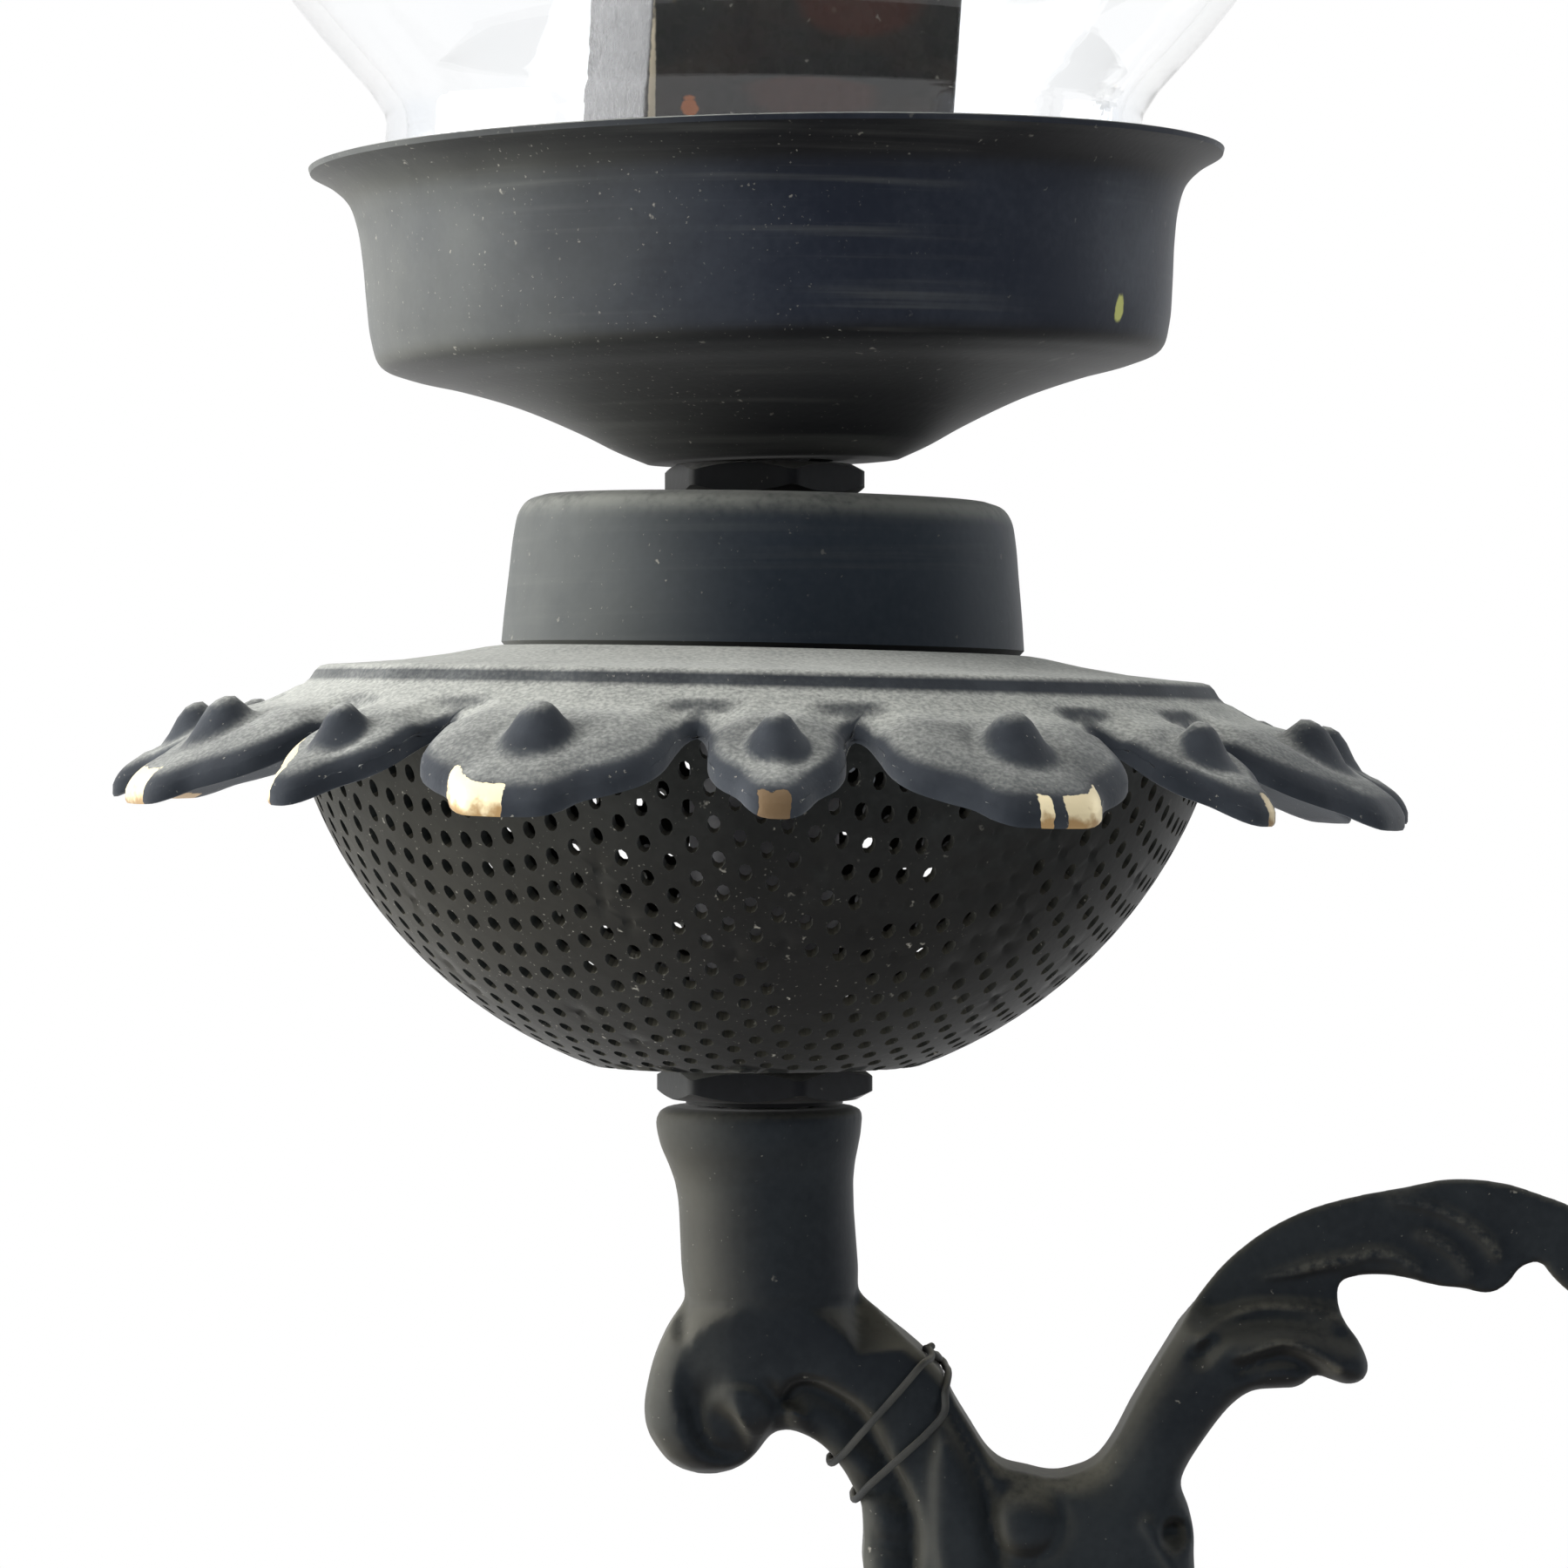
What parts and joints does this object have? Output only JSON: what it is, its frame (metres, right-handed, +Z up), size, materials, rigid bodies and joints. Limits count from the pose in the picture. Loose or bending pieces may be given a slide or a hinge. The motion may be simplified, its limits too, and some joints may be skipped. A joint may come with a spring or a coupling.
{
  "type": "hanging lamp",
  "caption": "Chain-hung lamp of cast scroll and leaf arms, with perforated bowls, lobed plates, galleries and clear glass globes round upright bulbs.",
  "frame": {"origin": "centre of the ceiling bar's top face, where it meets the ceiling", "axes": "+Z up to the ceiling; the first arm, the one in the picture, reaches towards -X, and the picture looks along +Y"},
  "size_m": [0.4378, 0.4848, 0.544],
  "materials": {
    "black_paint": "old black satin paint with dust on its upper sides",
    "nut_paint": "black semi-gloss paint",
    "dusty_paint": "black paint under grey-brown dust, chipped to brass at the lobe tips",
    "steel": "plain zinc plate",
    "wire": "dull, dusty wire",
    "lacquer": "dark brown-black gloss",
    "holder": "off-white glaze",
    "bulb_glass": "frosted",
    "clear_glass": "clear, with faint streaks of dust"
  },
  "bodies": {
    "ceiling": {"ceiling_bar": "steel", "canopy": "black_paint", "ceiling_loop": "black_paint"},
    "link_1": {"chain_link_1": "black_paint"},
    "link_2": {"chain_link_2": "black_paint"},
    "link_3": {"chain_link_3": "black_paint"},
    "link_4": {"chain_link_4": "black_paint"},
    "link_5": {"chain_link_5": "black_paint"},
    "lamp": {"column_loop": "black_paint", "column_upper": "black_paint", "column_lower": "black_paint", "hub": "black_paint", "hub_cover": "black_paint", "finial": "black_paint", "centre_rod": "steel", "tie_wire": "wire", "arm_1": "black_paint", "arm_screw_1": "steel", "lock_nut_1": "nut_paint", "threaded_tube_1": "steel", "bowl_1": "black_paint", "spacer_tube_1": "steel", "leaf_plate_1": "dusty_paint", "cap_1": "dusty_paint", "neck_nut_1": "black_paint", "gallery_1": "black_paint", "sleeve_1": "lacquer", "lampholder_1": "holder", "arm_2": "black_paint", "arm_screw_2": "steel", "lock_nut_2": "nut_paint", "threaded_tube_2": "steel", "bowl_2": "black_paint", "spacer_tube_2": "steel", "leaf_plate_2": "dusty_paint", "cap_2": "dusty_paint", "neck_nut_2": "black_paint", "gallery_2": "black_paint", "sleeve_2": "lacquer", "lampholder_2": "holder", "arm_3": "black_paint", "arm_screw_3": "steel", "lock_nut_3": "nut_paint", "threaded_tube_3": "steel", "bowl_3": "black_paint", "spacer_tube_3": "steel", "leaf_plate_3": "dusty_paint", "cap_3": "dusty_paint", "neck_nut_3": "black_paint", "gallery_3": "black_paint", "sleeve_3": "lacquer", "lampholder_3": "holder"},
    "bulb_1": {"bulb_1": "bulb_glass"},
    "globe_1": {"globe_1": "clear_glass"},
    "bulb_2": {"bulb_2": "bulb_glass"},
    "globe_2": {"globe_2": "clear_glass"},
    "bulb_3": {"bulb_3": "bulb_glass"},
    "globe_3": {"globe_3": "clear_glass"}
  },
  "joints": [
    {"name": "link_1_swing", "type": "hinge", "parent": "ceiling", "child": "link_1", "pos_m": [0, 0, -0.0558], "axis": [1, 0, 0], "range_deg": [-12, 12]},
    {"name": "link_2_swing", "type": "hinge", "parent": "link_1", "child": "link_2", "pos_m": [0, 0, -0.091], "axis": [0, 1, 0], "range_deg": [-12, 12]},
    {"name": "link_3_swing", "type": "hinge", "parent": "link_2", "child": "link_3", "pos_m": [0, 0, -0.1267], "axis": [1, 0, 0], "range_deg": [-12, 12]},
    {"name": "link_4_swing", "type": "hinge", "parent": "link_3", "child": "link_4", "pos_m": [0, 0, -0.1624], "axis": [0, 1, 0], "range_deg": [-12, 12]},
    {"name": "link_5_swing", "type": "hinge", "parent": "link_4", "child": "link_5", "pos_m": [0, 0, -0.1981], "axis": [1, 0, 0], "range_deg": [-12, 12]},
    {"name": "lamp_swing", "type": "hinge", "parent": "link_5", "child": "lamp", "pos_m": [0, 0, -0.2338], "axis": [0, 1, 0], "range_deg": [-12, 12]},
    {"name": "globe_1_lift", "type": "slide", "parent": "lamp", "child": "globe_1", "axis": [0, 0, 1], "range_m": [0, 0.13]},
    {"name": "bulb_1_turn", "type": "hinge", "parent": "lamp", "child": "bulb_1", "pos_m": [-0.2, 0, -0.24], "axis": [0, 0, 1], "range_deg": [0, 1080]},
    {"name": "globe_2_lift", "type": "slide", "parent": "lamp", "child": "globe_2", "axis": [0, 0, 1], "range_m": [0, 0.13]},
    {"name": "bulb_2_turn", "type": "hinge", "parent": "lamp", "child": "bulb_2", "pos_m": [0.1, -0.1732, -0.24], "axis": [0, 0, 1], "range_deg": [0, 1080]},
    {"name": "globe_3_lift", "type": "slide", "parent": "lamp", "child": "globe_3", "axis": [0, 0, 1], "range_m": [0, 0.13]},
    {"name": "bulb_3_turn", "type": "hinge", "parent": "lamp", "child": "bulb_3", "pos_m": [0.1, 0.1732, -0.24], "axis": [0, 0, 1], "range_deg": [0, 1080]}
  ]
}
